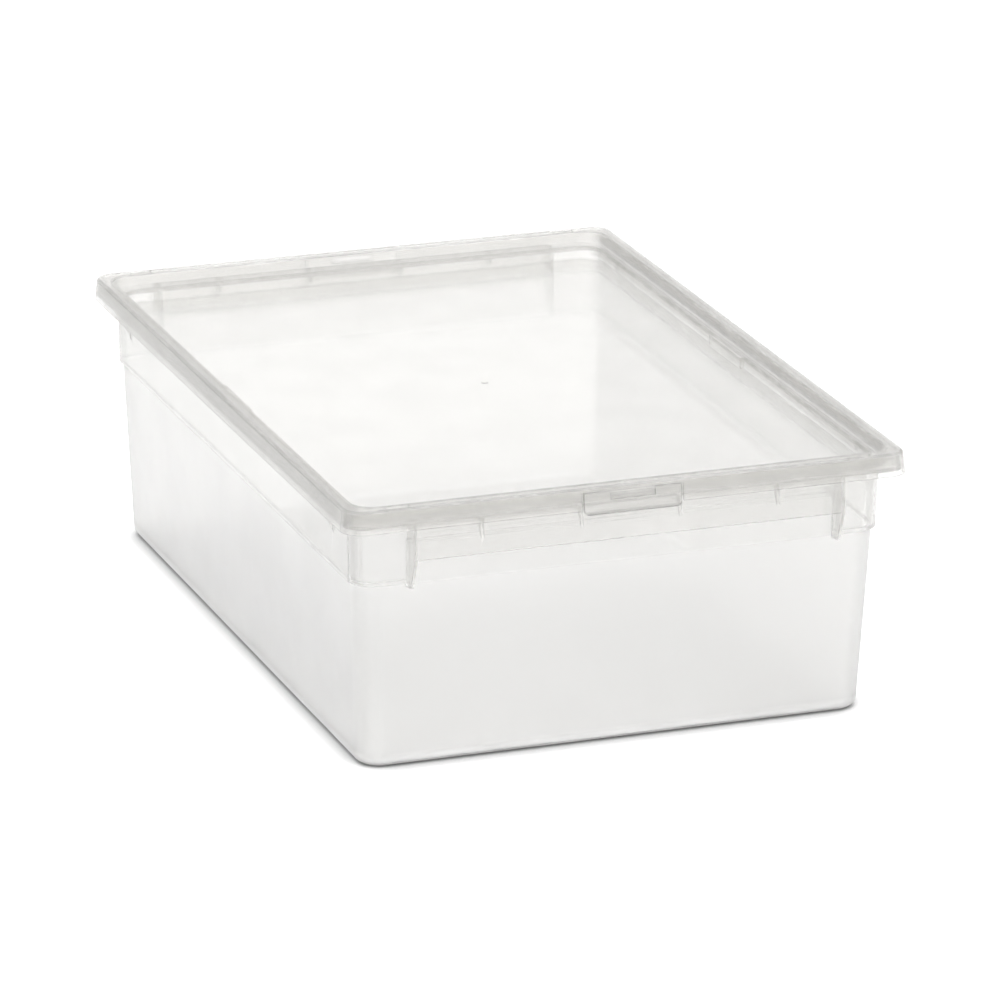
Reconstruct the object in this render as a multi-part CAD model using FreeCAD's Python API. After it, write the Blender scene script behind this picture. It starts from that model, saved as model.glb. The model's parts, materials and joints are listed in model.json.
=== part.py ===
import FreeCAD, Part
import os

# Lidded stacking bin in clear polypropylene. Millimetres, +Z up.
# Origin: centre of the bin's underside. The front (short side) faces -Y.

Vector = FreeCAD.Vector

# ---- Driving dimensions -------------------------------------------------

LID_WIDTH = 278.0
LID_LENGTH = 396.0
TOTAL_HEIGHT = 131.0
WALL = 1.5                  # moulded thickness of the bin
LID_WALL = 1.3              # moulded thickness of the lid's skirt and legs
PANEL_THICKNESS = 1.4
FLOOR_THICKNESS = 1.8

# Lid rim: an upside-down U that drops over the bin's rim wall.
SKIRT_BOTTOM = 120.0
SKIRT_FLARE = 1.0           # the skirt is this much wider per side at its bottom
LID_CORNER = 10.0
LID_EDGE_ROUND = 2.0
RIM_TOP_THICKNESS = 1.5
RIM_TOP_INSET = 7.4         # lid edge to the inner edge of the rim's top
LEG_DRAFT = 0.3
STEP_TOP = 125.2            # ledge inside the rim, over the bin's shelf
STEP_BOTTOM = 123.7
RECESS_HALF_X = 127.6       # recessed panel, where the bin above stands
RECESS_HALF_Y = 183.0
RECESS_CORNER = 10.7
PANEL_TOP = 119.4

# Bin shell: tapered lower wall, stepped out to an upper wall (higher up inside
# the two grips, behind their skirts), then a shelf that carries the rim wall.
FLOOR_HALF_X = 125.0
FLOOR_HALF_Y = 180.5
LOWER_DRAFT = 4.0
STEP_HEIGHT = 90.5
GRIP_STEP_HEIGHT = 110.0
STEP_OUT = 1.5
UPPER_DRAFT = 0.6
SHELL_CORNER = 12.0
FLOOR_EDGE_ROUND = 4.0
SHELF_TOP = 123.5
SHELF_BOTTOM = SHELF_TOP - WALL
SEAT_GAP = 0.1              # lid underside above the rim wall's top edge
RIM_GAP = 0.6               # lid skirt to rim wall

# Hand grip on each short side: a skirt below the shelf, closed at its ends.
GRIP_HALF_WIDTH = 106.0
GRIP_BOTTOM = 105.0
END_GUSSET_BOTTOM = 88.5
END_GUSSET_FLAT = 6.0       # how far its lower edge runs out from the wall
END_GUSSET_RISE = 1.5
RIB_COUNT = 4               # small ribs behind the grip skirt
RIB_PITCH = 48.5
RIB_REACH = 4.5
RIB_BOTTOM = 110.5
SIDE_RIB_Y = 155.0
SIDE_RIB_REACH = 5.0
SIDE_RIB_BOTTOM = 107.0

# Clip on each short side: a tongue cut out of the lid's skirt.
CLIP_HALF_WIDTH = 24.0
CLIP_SLIT = 1.0
CLIP_BOTTOM = 118.0
CLIP_TOP = 128.4
CLIP_CORNER = 2.5
CLIP_HINGE_GAP = 0.2
CLIP_LIP_HEIGHT = 1.4
CLIP_LIP_REACH = 0.6
WINDOW_HALF_WIDTH = 11.0
WINDOW_BOTTOM = 124.4
WINDOW_TOP = 127.4
CATCH_SIDE_GAP = 0.5
CATCH_REACH = 0.45

# Small details of the lid.
SLOT_LENGTH = 11.0
SLOT_WIDTH = 2.6
SLOT_CORNER = 0.8
SLOT_X = 113.5
SLOT_EDGE_DISTANCE = 4.0
PAD_LENGTH = 40.0
PAD_REACH = 2.5
GATE_RADIUS = 1.6
GATE_HEIGHT = 0.4

# ---- Values worked out from them ------------------------------------------

LID_HALF_X = LID_WIDTH / 2
LID_HALF_Y = LID_LENGTH / 2
FLARE_SLOPE = SKIRT_FLARE / (TOTAL_HEIGHT - SKIRT_BOTTOM)
RIM_TOP_BOTTOM = TOTAL_HEIGHT - RIM_TOP_THICKNESS
RIM_WALL_TOP = RIM_TOP_BOTTOM - SEAT_GAP
RIM_INSET = LID_WALL + RIM_GAP
PANEL_BOTTOM = PANEL_TOP - PANEL_THICKNESS
UPPER_HALF_X = FLOOR_HALF_X + LOWER_DRAFT + STEP_OUT
UPPER_HALF_Y = FLOOR_HALF_Y + LOWER_DRAFT + STEP_OUT
OVERLAP = 0.5               # how far joined features reach into each other
TOLERANCE = 1e-4            # for telling which edges lie in a plane


# ---- Helpers ----------------------------------------------------------------

def rounded_outline(half_x, half_y, radius, height):
    """Closed wire of a rounded rectangle, centred on the Z axis."""
    corners = ((1, -1, 270), (1, 1, 0), (-1, 1, 90), (-1, -1, 180))
    edges = []
    ends = []
    for sign_x, sign_y, start in corners:
        centre = Vector(sign_x * (half_x - radius), sign_y * (half_y - radius), height)
        arc = Part.makeCircle(radius, centre, Vector(0, 0, 1), start, start + 90)
        ends.append((arc.Vertexes[0].Point, arc.Vertexes[-1].Point))
        edges.append(arc)
    loop = []
    for index, arc in enumerate(edges):
        following = ends[(index + 1) % len(edges)][0]
        loop.append(arc)
        loop.append(Part.makeLine(ends[index][1], following))
    return Part.Wire(loop)


def tapered_block(low, high):
    """Solid between two rounded rectangles, each (half_x, half_y, radius, height)."""
    outlines = [rounded_outline(*low), rounded_outline(*high)]
    return Part.makeLoft(outlines, True, True)


def box_between(low, high):
    """Box from its lowest to its highest corner."""
    size = [b - a for a, b in zip(low, high)]
    return Part.makeBox(size[0], size[1], size[2], Vector(*low))


def plate_across(outline, x_low, x_high):
    """Plate with a (y, z) outline, from x_low to x_high."""
    points = [Vector(x_low, y, z) for y, z in outline]
    face = Part.Face(Part.makePolygon(points + points[:1]))
    return face.extrude(Vector(x_high - x_low, 0, 0))


def plate_along(outline, y_low, y_high):
    """Plate with an (x, z) outline, from y_low to y_high."""
    points = [Vector(x, y_low, z) for x, z in outline]
    face = Part.Face(Part.makePolygon(points + points[:1]))
    return face.extrude(Vector(0, y_high - y_low, 0))


def round_level_edges(solid, height, radius):
    """Fillet every edge of a solid that lies in the plane z = height."""
    level = []
    for edge in solid.Edges:
        box = edge.BoundBox
        if abs(box.ZMin - height) < TOLERANCE and abs(box.ZMax - height) < TOLERANCE:
            level.append(edge)
    return solid.makeFillet(radius, level)


def both_ends(make, *args):
    """A feature made at the rear and turned half a turn for the front."""
    rear = make(*args)
    front = rear.copy()
    front.rotate(Vector(0, 0, 0), Vector(0, 0, 1), 180)
    return [rear, front]


def skirt_face(half, height):
    """Distance of the lid skirt's outer face from the centre plane."""
    return half - (height - SKIRT_BOTTOM) * FLARE_SLOPE


def rim_face(half, height):
    """Distance of the bin rim wall's outer face from the centre plane."""
    return skirt_face(half, height) - RIM_INSET


# ---- Bin ----------------------------------------------------------------------

def grip_bay(face_y, step_height):
    """Space inside a grip where the wall, at y = face_y, has not stepped out yet."""
    half_width = GRIP_HALF_WIDTH - WALL / 2
    low = (-half_width, face_y, STEP_HEIGHT - OVERLAP)
    high = (half_width, LID_HALF_Y, step_height)
    return box_between(low, high)


def shell_outside():
    wall_y = FLOOR_HALF_Y + LOWER_DRAFT
    lower = tapered_block(
        (FLOOR_HALF_X, FLOOR_HALF_Y, SHELL_CORNER, 0),
        (FLOOR_HALF_X + LOWER_DRAFT, wall_y, SHELL_CORNER, STEP_HEIGHT),
    )
    lower = round_level_edges(lower, 0, FLOOR_EDGE_ROUND)
    upper = tapered_block(
        (UPPER_HALF_X, UPPER_HALF_Y, SHELL_CORNER, STEP_HEIGHT),
        (UPPER_HALF_X + UPPER_DRAFT, UPPER_HALF_Y + UPPER_DRAFT, SHELL_CORNER, SHELF_TOP),
    )
    return lower.fuse(upper.cut(both_ends(grip_bay, wall_y, GRIP_STEP_HEIGHT)))


def shell_inside():
    draft_per_mm = LOWER_DRAFT / STEP_HEIGHT
    floor_x = FLOOR_HALF_X + FLOOR_THICKNESS * draft_per_mm - WALL
    floor_y = FLOOR_HALF_Y + FLOOR_THICKNESS * draft_per_mm - WALL
    step_x = FLOOR_HALF_X + LOWER_DRAFT - WALL
    step_y = FLOOR_HALF_Y + LOWER_DRAFT - WALL
    corner = SHELL_CORNER - WALL
    lower = tapered_block(
        (floor_x, floor_y, corner, FLOOR_THICKNESS),
        (step_x, step_y, corner, STEP_HEIGHT + WALL),
    )
    lower = round_level_edges(lower, FLOOR_THICKNESS, FLOOR_EDGE_ROUND - WALL)
    upper = tapered_block(
        (step_x + STEP_OUT, step_y + STEP_OUT, corner, STEP_HEIGHT + WALL),
        (
            step_x + STEP_OUT + UPPER_DRAFT,
            step_y + STEP_OUT + UPPER_DRAFT,
            corner,
            SHELF_TOP + OVERLAP,
        ),
    )
    return lower.fuse(upper.cut(both_ends(grip_bay, step_y, GRIP_STEP_HEIGHT + WALL)))


def rim_section(inset, radius, low, high):
    """Block with the rim wall's slope, inset from its outer face."""
    return tapered_block(
        (rim_face(LID_HALF_X, low) - inset, rim_face(LID_HALF_Y, low) - inset, radius, low),
        (rim_face(LID_HALF_X, high) - inset, rim_face(LID_HALF_Y, high) - inset, radius, high),
    )


def shelf_and_rim():
    corner = LID_CORNER - RIM_INSET
    block = rim_section(0, corner, SHELF_BOTTOM, RIM_WALL_TOP)
    inside = rim_section(WALL, corner - WALL, SHELF_TOP, RIM_WALL_TOP + OVERLAP)
    return block.cut(inside)


def grip_skirt():
    outer_low = rim_face(LID_HALF_Y, GRIP_BOTTOM)
    outer_high = rim_face(LID_HALF_Y, SHELF_TOP)
    outline = [
        (outer_low, GRIP_BOTTOM),
        (outer_high, SHELF_TOP),
        (outer_high - WALL, SHELF_TOP),
        (outer_low - WALL, GRIP_BOTTOM),
    ]
    return plate_across(outline, -GRIP_HALF_WIDTH, GRIP_HALF_WIDTH)


def end_gussets():
    """Plates that close the two ends of the grip and brace it to the wall."""
    lower_wall = FLOOR_HALF_Y + LOWER_DRAFT - WALL / 2
    outer_low = rim_face(LID_HALF_Y, GRIP_BOTTOM)
    outer_high = rim_face(LID_HALF_Y, SHELF_TOP)
    outline = [
        (lower_wall, SHELF_TOP),
        (lower_wall, END_GUSSET_BOTTOM),
        (UPPER_HALF_Y + END_GUSSET_FLAT, END_GUSSET_BOTTOM + END_GUSSET_RISE),
        (outer_low, GRIP_BOTTOM),
        (outer_high, SHELF_TOP),
    ]
    inner = GRIP_HALF_WIDTH - WALL
    return [
        plate_across(outline, inner, GRIP_HALF_WIDTH),
        plate_across(outline, -GRIP_HALF_WIDTH, -inner),
    ]


def grip_ribs():
    """Small triangular ribs behind the grip skirt, under the shelf."""
    inner_low = rim_face(LID_HALF_Y, RIB_BOTTOM) - WALL
    inner_high = rim_face(LID_HALF_Y, SHELF_TOP) - WALL
    outline = [
        (inner_low + OVERLAP, RIB_BOTTOM),
        (inner_high + OVERLAP, SHELF_TOP),
        (inner_high - RIB_REACH, SHELF_TOP),
        (inner_high - RIB_REACH, SHELF_BOTTOM - WALL),
    ]
    ribs = []
    for index in range(RIB_COUNT):
        centre = (index - (RIB_COUNT - 1) / 2) * RIB_PITCH
        ribs.append(plate_across(outline, centre - WALL / 2, centre + WALL / 2))
    return ribs


def side_ribs():
    """Small ribs under the shelf on the long sides, near each corner."""
    outline = [
        (UPPER_HALF_X, SIDE_RIB_BOTTOM),
        (UPPER_HALF_X, SHELF_TOP),
        (UPPER_HALF_X + SIDE_RIB_REACH, SHELF_TOP),
        (UPPER_HALF_X + SIDE_RIB_REACH, SHELF_BOTTOM - WALL),
    ]
    ribs = []
    for centre in (-SIDE_RIB_Y, SIDE_RIB_Y):
        ribs.append(plate_along(outline, centre - WALL / 2, centre + WALL / 2))
    return ribs


def catch():
    """Wedge on the rim wall that stands behind the clip's window."""
    half_width = WINDOW_HALF_WIDTH - CATCH_SIDE_GAP
    outline = [
        (rim_face(LID_HALF_Y, WINDOW_BOTTOM) - OVERLAP, WINDOW_BOTTOM),
        (rim_face(LID_HALF_Y, WINDOW_BOTTOM) + CATCH_REACH, WINDOW_BOTTOM),
        (rim_face(LID_HALF_Y, WINDOW_TOP), WINDOW_TOP),
        (rim_face(LID_HALF_Y, WINDOW_TOP) - OVERLAP, WINDOW_TOP),
    ]
    return plate_across(outline, -half_width, half_width)


def bin_body():
    pieces = [shelf_and_rim()]
    for feature in (grip_skirt, catch):
        pieces.extend(both_ends(feature))
    for group in (end_gussets, grip_ribs, side_ribs):
        for plate in group():
            pieces.extend(both_ends(plate.copy))
    body = shell_outside().multiFuse(pieces)
    return body.cut(shell_inside()).removeSplitter()


# ---- Lid ------------------------------------------------------------------------

def lid_outside():
    block = tapered_block(
        (LID_HALF_X, LID_HALF_Y, LID_CORNER, SKIRT_BOTTOM),
        (
            LID_HALF_X - SKIRT_FLARE,
            LID_HALF_Y - SKIRT_FLARE,
            LID_CORNER,
            TOTAL_HEIGHT,
        ),
    )
    return round_level_edges(block, TOTAL_HEIGHT, LID_EDGE_ROUND)


def skirt_inside():
    corner = LID_CORNER - LID_WALL
    low = SKIRT_BOTTOM - OVERLAP
    return tapered_block(
        (
            skirt_face(LID_HALF_X, low) - LID_WALL,
            skirt_face(LID_HALF_Y, low) - LID_WALL,
            corner,
            low,
        ),
        (
            skirt_face(LID_HALF_X, RIM_TOP_BOTTOM) - LID_WALL,
            skirt_face(LID_HALF_Y, RIM_TOP_BOTTOM) - LID_WALL,
            corner,
            RIM_TOP_BOTTOM,
        ),
    )


def tray(offset, floor, step, top):
    """Stepped tray form; offset grows it from the recess's visible faces."""
    corner = RECESS_CORNER + offset
    leg_x = LID_HALF_X - RIM_TOP_INSET + offset
    leg_y = LID_HALF_Y - RIM_TOP_INSET + offset
    lower = tapered_block(
        (RECESS_HALF_X - LEG_DRAFT + offset, RECESS_HALF_Y - LEG_DRAFT + offset, corner, floor),
        (RECESS_HALF_X + offset, RECESS_HALF_Y + offset, corner, step),
    )
    upper = tapered_block(
        (leg_x - LEG_DRAFT, leg_y - LEG_DRAFT, corner, step),
        (leg_x, leg_y, corner, top),
    )
    return lower.fuse(upper)


def pads():
    """Widened ledge half way along each long side."""
    low = (RECESS_HALF_X - PAD_REACH, -PAD_LENGTH / 2, PANEL_TOP - OVERLAP)
    high = (RECESS_HALF_X + OVERLAP, PAD_LENGTH / 2, STEP_TOP)
    return both_ends(box_between, low, high)


def rim_slots():
    """Slots through the rim's top, one near each corner on the short sides."""
    centre_y = LID_HALF_Y - SLOT_EDGE_DISTANCE
    slots = []
    for side in (-1, 1):
        size = (SLOT_LENGTH / 2, SLOT_WIDTH / 2, SLOT_CORNER)
        low = RIM_TOP_BOTTOM - OVERLAP
        high = TOTAL_HEIGHT + OVERLAP
        slot = tapered_block((*size, low), (*size, high))
        slot.translate(Vector(side * SLOT_X, centre_y, 0))
        slots.extend(both_ends(slot.copy))
    return slots


def clip_opening():
    half_width = CLIP_HALF_WIDTH + CLIP_SLIT
    low = (-half_width, LID_HALF_Y - 2 * RIM_INSET, SKIRT_BOTTOM - OVERLAP)
    high = (half_width, LID_HALF_Y + OVERLAP, CLIP_TOP + CLIP_HINGE_GAP)
    return box_between(low, high)


def lid():
    shell = lid_outside().cut(skirt_inside())
    form = tray(LID_WALL, PANEL_BOTTOM, STEP_BOTTOM, RIM_TOP_BOTTOM + OVERLAP)
    recess = tray(0, PANEL_TOP, STEP_TOP, TOTAL_HEIGHT + OVERLAP)
    body = shell.fuse(form).cut(recess)
    gate = Part.makeCylinder(
        GATE_RADIUS, GATE_HEIGHT + OVERLAP, Vector(0, 0, PANEL_TOP - OVERLAP)
    )
    body = body.multiFuse(pads() + [gate])
    return body.cut(rim_slots() + both_ends(clip_opening)).removeSplitter()


# ---- Clips ----------------------------------------------------------------------

def rear_clip():
    lip_top = CLIP_BOTTOM + CLIP_LIP_HEIGHT
    face_low = skirt_face(LID_HALF_Y, CLIP_BOTTOM)
    face_lip = skirt_face(LID_HALF_Y, lip_top)
    face_top = skirt_face(LID_HALF_Y, CLIP_TOP)
    outline = [
        (face_low - LID_WALL, CLIP_BOTTOM),
        (face_low + CLIP_LIP_REACH, CLIP_BOTTOM),
        (face_lip + CLIP_LIP_REACH, lip_top),
        (face_lip, lip_top + CLIP_LIP_REACH),
        (face_top, CLIP_TOP),
        (face_top - LID_WALL, CLIP_TOP),
    ]
    tongue = plate_across(outline, -CLIP_HALF_WIDTH, CLIP_HALF_WIDTH)
    corners = []
    for edge in tongue.Edges:
        box = edge.BoundBox
        from_end = abs(abs(box.XMin) - CLIP_HALF_WIDTH)
        at_end = from_end < TOLERANCE and box.XLength < TOLERANCE
        if at_end and box.ZMax < CLIP_BOTTOM + TOLERANCE:
            corners.append(edge)
    tongue = tongue.makeFillet(CLIP_CORNER, corners)
    window = box_between(
        (-WINDOW_HALF_WIDTH, face_top - 2 * LID_WALL, WINDOW_BOTTOM),
        (WINDOW_HALF_WIDTH, LID_HALF_Y + LID_WALL, WINDOW_TOP),
    )
    return tongue.cut(window).removeSplitter()


def export(shape, node):
    if len(shape.Solids) != 1 or not shape.isValid():
        raise ValueError(node + " is not one valid solid")
    shape.Solids[0].exportStep("parts/" + node + ".step")


os.makedirs("parts", exist_ok=True)
clip_pair = both_ends(rear_clip)
export(bin_body(), "bin_body")
export(lid(), "lid")
export(clip_pair[0], "rear_clip")
export(clip_pair[1], "front_clip")
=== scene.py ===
import json
import math
from collections import namedtuple

import bmesh
import bpy
from mathutils import Matrix, Vector


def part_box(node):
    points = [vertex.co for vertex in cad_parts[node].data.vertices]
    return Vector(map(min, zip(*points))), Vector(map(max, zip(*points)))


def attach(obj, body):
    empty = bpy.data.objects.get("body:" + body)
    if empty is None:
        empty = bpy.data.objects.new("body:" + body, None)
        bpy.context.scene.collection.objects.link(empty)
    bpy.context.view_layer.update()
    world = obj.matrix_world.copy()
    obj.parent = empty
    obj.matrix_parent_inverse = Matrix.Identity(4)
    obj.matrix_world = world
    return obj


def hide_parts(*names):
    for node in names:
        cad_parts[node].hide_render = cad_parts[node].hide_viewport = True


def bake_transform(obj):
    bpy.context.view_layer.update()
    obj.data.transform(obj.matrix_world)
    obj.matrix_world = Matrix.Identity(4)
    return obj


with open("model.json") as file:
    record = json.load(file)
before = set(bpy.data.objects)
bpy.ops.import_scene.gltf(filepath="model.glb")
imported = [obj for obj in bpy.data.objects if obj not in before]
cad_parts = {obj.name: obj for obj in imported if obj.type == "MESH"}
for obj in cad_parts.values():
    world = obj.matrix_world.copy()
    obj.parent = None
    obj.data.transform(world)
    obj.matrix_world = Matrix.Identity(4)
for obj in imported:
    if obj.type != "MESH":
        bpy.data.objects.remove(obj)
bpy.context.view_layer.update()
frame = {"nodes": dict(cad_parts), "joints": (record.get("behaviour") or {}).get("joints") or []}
MM = 0.001

# ---- Camera: place, aim and lens ------------------------------------------

CAMERA_AZIMUTH = -20.44
CAMERA_ELEVATION = 18.79
CAMERA_ROLL = 0.51
CAMERA_DISTANCE = 3.294
CAMERA_TARGET = (0.0074, -0.0029, 0.0595)
CAMERA_LENS = 243.6
CAMERA_SENSOR = 36.0
CAMERA_NEAR = 0.1
CAMERA_FAR = 100.0


def add_camera():
    azimuth = math.radians(CAMERA_AZIMUTH)
    elevation = math.radians(CAMERA_ELEVATION)
    back = Vector((
        math.sin(azimuth) * math.cos(elevation),
        -math.cos(azimuth) * math.cos(elevation),
        math.sin(elevation),
    ))
    data = bpy.data.cameras.new("camera")
    data.lens = CAMERA_LENS
    data.sensor_width = CAMERA_SENSOR
    data.clip_start = CAMERA_NEAR
    data.clip_end = CAMERA_FAR
    camera = bpy.data.objects.new("camera", data)
    bpy.context.collection.objects.link(camera)
    turn = (-back).to_track_quat("-Z", "Y").to_matrix().to_4x4()
    roll = Matrix.Rotation(math.radians(CAMERA_ROLL), 4, "Z")
    place = Matrix.Translation(Vector(CAMERA_TARGET) + back * CAMERA_DISTANCE)
    camera.matrix_world = place @ turn @ roll
    bpy.context.scene.camera = camera


# ---- Moulded pieces: the CAD shapes with softened edges ----------------------

WELD_DISTANCE = 1e-6
FLAT_ANGLE = math.radians(0.5)
SHARP_ANGLE = math.radians(50)
CUT_SPACING = 22 * MM
BEVEL_SEGMENTS = 2
ROUND_PROFILE = 0.5
QUAD_CORNERS = 4
FLAT_FACE_WEIGHT = 100


def welded(node):
    """The node's mesh with its split corners joined and its flat faces merged."""
    bm = bmesh.new()
    bm.from_mesh(frame["nodes"][node].data)
    bmesh.ops.remove_doubles(bm, verts=bm.verts, dist=WELD_DISTANCE)
    bmesh.ops.dissolve_limit(
        bm, angle_limit=FLAT_ANGLE, verts=bm.verts, edges=bm.edges, delimit={"NORMAL"}
    )
    return bm


def soften(bm, radius):
    """Round every sharp edge of a mesh."""
    sharp = [edge for edge in bm.edges if edge.calc_face_angle(0) > SHARP_ANGLE]
    bmesh.ops.bevel(
        bm, geom=sharp, offset=radius, offset_type="OFFSET", segments=BEVEL_SEGMENTS,
        profile=ROUND_PROFILE, affect="EDGES", clamp_overlap=False,
    )


def cut_across(bm, box):
    """Cut the mesh into bays along X and Y, so that its long sides can bow."""
    low, high = box
    for axis in (0, 1):
        bays = math.ceil((high[axis] - low[axis]) / CUT_SPACING)
        normal = Vector((1, 0, 0)) if axis == 0 else Vector((0, 1, 0))
        for index in range(1, bays):
            place = low[axis] + (high[axis] - low[axis]) * index / bays
            geometry = list(bm.verts) + list(bm.edges) + list(bm.faces)
            bmesh.ops.bisect_plane(
                bm, geom=geometry, dist=WELD_DISTANCE, plane_co=normal * place, plane_no=normal
            )


def piece_from(bm, name, body, material):
    """Turn a bmesh into a piece, and let it ride on a CAD body if one is given."""
    mesh = bpy.data.meshes.new(name)
    many_sided = [face for face in bm.faces if len(face.verts) > QUAD_CORNERS]
    bmesh.ops.triangulate(bm, faces=many_sided)
    for face in bm.faces:
        face.smooth = True
    bm.to_mesh(mesh)
    bm.free()
    piece = bpy.data.objects.new(name, mesh)
    bpy.context.collection.objects.link(piece)
    shade = piece.modifiers.new("flat_faces", "WEIGHTED_NORMAL")
    shade.weight = FLAT_FACE_WEIGHT
    mesh.materials.append(material)
    if body:
        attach(piece, body)
    return piece


# ---- Plastic ------------------------------------------------------------------

PLASTIC_IOR = 1.49
MILK_COLOUR = (0.96, 0.95, 0.92, 1)
CORE_COLOUR = (0.61, 0.60, 0.57, 1)
WARM_GREEN = 0.998
WARM_BLUE = 0.993
MILK_BACK_SHARE = 0.4
FULLY_CLEAR = 1.0

# Painted shade, as the brightness kept at each face: near the floor, on the long sides above the
# frost, and a painted shadow at the foot.
LOW_PAINTED_SHADE = 0.985
SIDE_PAINTED_SHADE = 0.91
FOOT_PAINTED_SHADOW = 0.55
LOW_SHADE_HEIGHT = 80 * MM
FOOT_LOW = 3 * MM
FOOT_HIGH = 7 * MM
SIDE_SHADE_MASK = (0.5, 0.9)
LEVEL_MASK = (0.9, 0.99)

# Each noise is (scale, detail): clouds in the haze, grain and slow waves in the surface.
CLOUDS = (35, 3)
GRAIN = (2600, 2)
WAVES = (14, 1)
CLOUD_RANGE = (0.3, 0.7)
UNEVEN_RANGE = (0.88, 1.12)
WAVE_HEIGHT = 0.06 * MM
GRAIN_HEIGHT = 0.002 * MM

# haze is the milky share, straight is the share of light that passes the thin wall without
# bending, and tone is the brightness kept at each face.
Skin = namedtuple("Skin", "roughness haze straight tone")


class Graph:
    """Short way to add and join the nodes of one material."""

    def __init__(self, name):
        self.material = bpy.data.materials.new(name)
        self.material.use_nodes = True
        self.tree = self.material.node_tree
        self.tree.nodes.clear()

    def add(self, kind, inputs=None, **settings):
        node = self.tree.nodes.new("ShaderNode" + kind)
        for key, value in settings.items():
            setattr(node, key, value)
        for key, value in (inputs or {}).items():
            if isinstance(value, bpy.types.NodeSocket):
                self.tree.links.new(value, node.inputs[key])
            else:
                node.inputs[key].default_value = value
        return node

    def noise(self, place, scale, detail):
        inputs = {"Vector": place, "Scale": scale, "Detail": detail}
        return self.add("TexNoise", inputs).outputs["Fac"]

    def ramp(self, value, low, high, out_low, out_high):
        inputs = {
            "Value": value, "From Min": low, "From Max": high,
            "To Min": out_low, "To Max": out_high,
        }
        return self.add("MapRange", inputs, interpolation_type="SMOOTHSTEP").outputs["Result"]

    def times(self, first, second):
        return self.add("Math", {0: first, 1: second}, operation="MULTIPLY").outputs[0]

    def absolute(self, value):
        return self.add("Math", {0: value}, operation="ABSOLUTE").outputs[0]

    def times_colour(self, first, second):
        inputs = {"Fac": 1.0, "Color1": first, "Color2": second}
        return self.add("MixRGB", inputs, blend_type="MULTIPLY").outputs[0]

    def mix(self, factor, first, second):
        return self.add("MixShader", {0: factor, 1: first, 2: second}).outputs[0]


def plastic(name, polished, frosted, frost_low, frost_high, density):
    """Clear polypropylene. Its skin turns from frosted to polished between two heights.

    Painted shade darkens the wall a little towards the floor and on the long sides above the
    frost. At the foot a painted shadow darkens it further, and no light passes there without
    bending.
    """
    graph = Graph(name)
    place = graph.add("TexCoord").outputs["Object"]
    height = graph.add("SeparateXYZ", {0: place}).outputs["Z"]
    clouds = graph.noise(place, *CLOUDS)
    grain = graph.noise(place, *GRAIN)
    waves = graph.noise(place, *WAVES)
    roughness, haze, straight, tone = [
        graph.ramp(height, frost_low, frost_high, low, high)
        for low, high in zip(frosted, polished)
    ]
    uneven = graph.ramp(clouds, *CLOUD_RANGE, *UNEVEN_RANGE)
    roughness = graph.times(roughness, uneven)
    haze = graph.times(haze, uneven)
    foot = graph.ramp(height, FOOT_LOW, FOOT_HIGH, 0, 1)
    straight = graph.times(straight, foot)
    normal = graph.add("SeparateXYZ", {0: graph.add("NewGeometry").outputs["Normal"]})
    sideways = graph.absolute(normal.outputs["X"])
    polish = graph.ramp(height, frost_low, frost_high, 0, 1)
    # Painted shade: the long sides above the frost kept darker.
    side_painted_shade = graph.ramp(graph.times(sideways, polish), *SIDE_SHADE_MASK, 1, SIDE_PAINTED_SHADE)
    level = graph.absolute(normal.outputs["Z"])
    upright = graph.ramp(level, *LEVEL_MASK, 1, 0)
    # Painted shadow at the foot: faces that are not level, in the lowest few millimetres, are
    # darkened.
    foot_shadow_mask = graph.times(upright, graph.ramp(height, 0, FOOT_LOW, 1, 0))
    foot_painted_shadow = graph.ramp(foot_shadow_mask, 0, 1, 1, FOOT_PAINTED_SHADOW)
    # Painted shade: the plastic kept darker towards the floor.
    low_painted_shade = graph.ramp(height, 0, LOW_SHADE_HEIGHT, LOW_PAINTED_SHADE, 1)
    for part in (side_painted_shade, foot_painted_shadow, low_painted_shade):
        tone = graph.times(tone, part)
    # This colour holds the warm hue and, through tone, the painted shade.
    tint_and_painted_shade = graph.add("CombineColor", {
        "Red": tone,
        "Green": graph.times(tone, WARM_GREEN),
        "Blue": graph.times(tone, WARM_BLUE),
    }).outputs[0]
    swell = graph.add("Bump", {"Height": waves, "Distance": WAVE_HEIGHT})
    surface_normal = graph.add(
        "Bump", {"Height": grain, "Distance": GRAIN_HEIGHT, "Normal": swell.outputs[0]}
    ).outputs[0]
    glass = graph.add("BsdfPrincipled", {
        "Base Color": tint_and_painted_shade,
        "Roughness": roughness,
        "IOR": PLASTIC_IOR,
        "Transmission Weight": FULLY_CLEAR,
        "Normal": surface_normal,
    }).outputs[0]
    passing = graph.add("BsdfTransparent", {"Color": tint_and_painted_shade}).outputs[0]
    milk_through = graph.add("BsdfTranslucent", {"Color": MILK_COLOUR}).outputs[0]
    milk_back = graph.add("BsdfDiffuse", {"Color": MILK_COLOUR}).outputs[0]
    milk = graph.mix(MILK_BACK_SHARE, milk_through, milk_back)
    clear = graph.mix(straight, glass, passing)
    surface = graph.mix(haze, clear, milk)
    core = graph.add("VolumeAbsorption", {"Color": CORE_COLOUR, "Density": density}).outputs[0]
    graph.add("OutputMaterial", {"Surface": surface, "Volume": core})
    return graph.material


bin_plastic = plastic(
    "bin_plastic",
    polished=Skin(roughness=0.10, haze=0.08, straight=0.25, tone=0.97),
    frosted=Skin(roughness=0.34, haze=0.0, straight=0.25, tone=1.0),
    frost_low=0.0890, frost_high=0.0905, density=14.0,
)
lid_plastic = plastic(
    "lid_plastic",
    polished=Skin(roughness=0.08, haze=0.06, straight=0.3, tone=0.98),
    frosted=Skin(roughness=0.12, haze=0.03, straight=0.4, tone=0.978),
    frost_low=0.1194, frost_high=0.1210, density=36.0,
)
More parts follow.
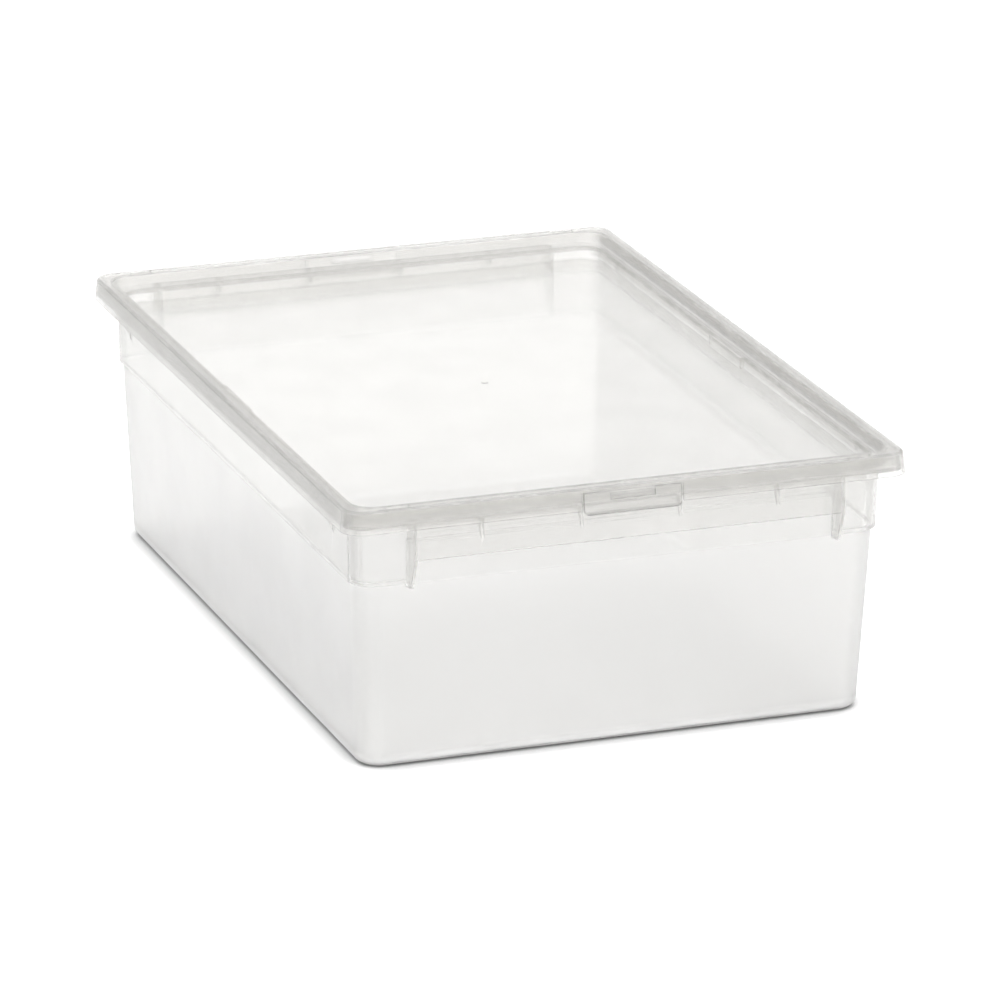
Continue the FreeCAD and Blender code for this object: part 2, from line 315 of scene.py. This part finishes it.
# The clip's lower skin is darker: it is the lip at its foot, and its darker tone is painted shade.
clip_plastic = plastic(
    "clip_plastic",
    polished=Skin(roughness=0.05, haze=0.02, straight=0.0, tone=1.0),
    frosted=Skin(roughness=0.05, haze=0.02, straight=0.0, tone=0.72),
    frost_low=0.1188, frost_high=0.1194, density=80.0,
)


# ---- Bin shell and lid cover ----------------------------------------------------

EDGE_RADIUS = 0.25 * MM
CLIP_EDGE_RADIUS = 0.15 * MM
SIDE_BOW = 0.9 * MM
END_BOW = 0.4 * MM
BOW_TOP = 118 * MM
BOW_FADE = 2
WALL_FOCUS = 8


def bow_walls(bm, box):
    """Pull the middle of each wall inwards, fading to nothing at the corners, floor and rim.

    WALL_FOCUS keeps the pull to what stands near a wall, so that the floor stays in place.
    """
    high = box[1]
    for vertex in bm.verts:
        place = vertex.co
        rise = math.sin(math.pi * min(max(place.z / BOW_TOP, 0), 1))
        along_x = max(1 - (place.x / high.x) ** 2, 0) ** BOW_FADE
        along_y = max(1 - (place.y / high.y) ** 2, 0) ** BOW_FADE
        near_side = min(abs(place.x) / high.x, 1) ** WALL_FOCUS
        near_end = min(abs(place.y) / high.y, 1) ** WALL_FOCUS
        place.x -= math.copysign(SIDE_BOW * rise * along_y * near_side, place.x)
        place.y -= math.copysign(END_BOW * rise * along_x * near_end, place.y)


def add_bin_shell():
    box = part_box("bin_body")
    bm = welded("bin_body")
    soften(bm, EDGE_RADIUS)
    cut_across(bm, box)
    bow_walls(bm, box)
    piece = piece_from(bm, "bin_shell", "bin", bin_plastic)
    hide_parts("bin_body")


def add_lid_cover():
    bm = welded("lid")
    soften(bm, EDGE_RADIUS)
    cut_across(bm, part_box("lid"))
    piece = piece_from(bm, "lid_cover", "lid", lid_plastic)
    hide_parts("lid")


# ---- Clips and the film hinges that join them to the lid -----------------------

HINGE_THICKNESS = 0.5 * MM
HINGE_SET_IN = 0.4 * MM
HINGE_LAP = 0.02 * MM
HINGE_GAP = 0.2 * MM
HINGE_ROWS = 6
HINGE_COLUMNS = 24


def add_clip(body):
    bm = welded(body)
    soften(bm, CLIP_EDGE_RADIUS)
    piece = piece_from(bm, body + "_tongue", body, clip_plastic)
    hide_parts(body)


def add_film_hinge(body):
    """Thin web of plastic between the lid's rim and the clip."""
    joint = next(j for j in frame["joints"] if j["child"] == body)
    pivot = Vector(joint["pos_m"])
    low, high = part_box(body)
    outward = -1 if pivot.y < 0 else 1
    bottom = high.z - HINGE_LAP
    top = high.z + HINGE_GAP + HINGE_LAP
    outer = pivot.y - outward * HINGE_SET_IN
    inner = outer - outward * HINGE_THICKNESS
    bm = bmesh.new()
    rings = []
    for row in range(HINGE_ROWS + 1):
        z = bottom + (top - bottom) * row / HINGE_ROWS
        ring = []
        for column in range(HINGE_COLUMNS + 1):
            x = low.x + (high.x - low.x) * column / HINGE_COLUMNS
            ring.append(bm.verts.new((x, outer, z)))
        for column in range(HINGE_COLUMNS, -1, -1):
            x = low.x + (high.x - low.x) * column / HINGE_COLUMNS
            ring.append(bm.verts.new((x, inner, z)))
        rings.append(ring)
    count = len(rings[0])
    for below, above in zip(rings, rings[1:]):
        for index in range(count):
            after = (index + 1) % count
            bm.faces.new((below[index], below[after], above[after], above[index]))
    bm.faces.new(rings[0])
    bm.faces.new(rings[-1])
    bmesh.ops.recalc_face_normals(bm, faces=bm.faces)
    piece = piece_from(bm, body + "_film_hinge", None, lid_plastic)
    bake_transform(piece)


add_bin_shell()
add_lid_cover()
for clip in ("front_clip", "rear_clip"):
    add_clip(clip)
    add_film_hinge(clip)


# ---- Floor and light ------------------------------------------------------------

WHITE = (1, 1, 1, 1)
FLOOR_SIZE = 30
FLOOR_Z = -0.0004
FLOOR_ROUGHNESS = 0.9
# The table's glow is painted light: through the plastic it glows brighter, so no shade falls under
# the bin.
THROUGH_GLOW = 1.10
THROUGH_WHITE = 0.15
SEEN_GLOW = 0.60
SEEN_WHITE = 0.55
# Painted shadow on the table round the foot, from occlusion, seen by the camera only.
PAINTED_SHADOW_REACH = 15 * MM
PAINTED_SHADOW_SAMPLES = 8
PAINTED_SHADOW_RANGE = (0.05, 0.85)
PAINTED_SHADOW_DARK = 0.12

DOME_FULL_HEIGHT = 0.7
DOME_HORIZON = 0.55
DOME_OVERHEAD = 1.5
BACKDROP = 1.3
MIX_FACTOR = 0
MIX_FIRST = 2
MIX_SECOND = 3

LIGHT_BOUNCES = 12
CLEAR_BOUNCES = 16


def add_floor():
    """White table that glows. Rays through the plastic find it brighter than the camera does.

    Only the camera sees the painted shadow round the foot.
    """
    bpy.ops.mesh.primitive_plane_add(size=FLOOR_SIZE, location=(0, 0, FLOOR_Z))
    floor = bpy.context.object
    floor.name = "floor"
    graph = Graph("floor_glow_and_painted_shadow")
    sheets = []
    # Painted shadow round the foot, seen by the camera only.
    near = graph.add(
        "AmbientOcclusion", {"Distance": PAINTED_SHADOW_REACH}, samples=PAINTED_SHADOW_SAMPLES
    ).outputs["AO"]
    floor_painted_shadow = graph.ramp(near, *PAINTED_SHADOW_RANGE, PAINTED_SHADOW_DARK, 1)
    through = (THROUGH_GLOW, THROUGH_WHITE, WHITE)
    seen_directly = (SEEN_GLOW, SEEN_WHITE, floor_painted_shadow)
    for glow, white, shade in (through, seen_directly):
        sheets.append(graph.add("BsdfPrincipled", {
            "Base Color": graph.times_colour(shade, (white, white, white, 1)),
            "Roughness": FLOOR_ROUGHNESS,
            "Specular IOR Level": 0.0,
            "Emission Color": shade,
            "Emission Strength": glow,
        }).outputs[0])
    seen = graph.add("LightPath").outputs["Is Camera Ray"]
    graph.add("OutputMaterial", {"Surface": graph.mix(seen, *sheets)})
    floor.data.materials.append(graph.material)


def add_world():
    """Soft white dome, dimmer towards the horizon than overhead. The camera sees it plain white."""
    world = bpy.data.worlds.new("studio")
    bpy.context.scene.world = world
    world.use_nodes = True
    tree = world.node_tree
    background = tree.nodes["Background"]
    background.inputs["Color"].default_value = WHITE
    direction = tree.nodes.new("ShaderNodeTexCoord").outputs["Generated"]
    split = tree.nodes.new("ShaderNodeSeparateXYZ")
    tree.links.new(direction, split.inputs[0])
    dome = tree.nodes.new("ShaderNodeMapRange")
    dome.inputs["From Min"].default_value = 0.0
    dome.inputs["From Max"].default_value = DOME_FULL_HEIGHT
    dome.inputs["To Min"].default_value = DOME_HORIZON
    dome.inputs["To Max"].default_value = DOME_OVERHEAD
    tree.links.new(split.outputs["Z"], dome.inputs["Value"])
    seen = tree.nodes.new("ShaderNodeLightPath").outputs["Is Camera Ray"]
    strength = tree.nodes.new("ShaderNodeMix")
    strength.inputs[MIX_SECOND].default_value = BACKDROP
    tree.links.new(seen, strength.inputs[MIX_FACTOR])
    tree.links.new(dome.outputs["Result"], strength.inputs[MIX_FIRST])
    tree.links.new(strength.outputs[0], background.inputs["Strength"])


add_floor()
add_world()
add_camera()
scene = bpy.context.scene
scene.view_settings.view_transform = "Standard"
scene.cycles.max_bounces = LIGHT_BOUNCES
scene.cycles.transmission_bounces = LIGHT_BOUNCES
scene.cycles.transparent_max_bounces = CLEAR_BOUNCES
scene.cycles.use_denoising = True
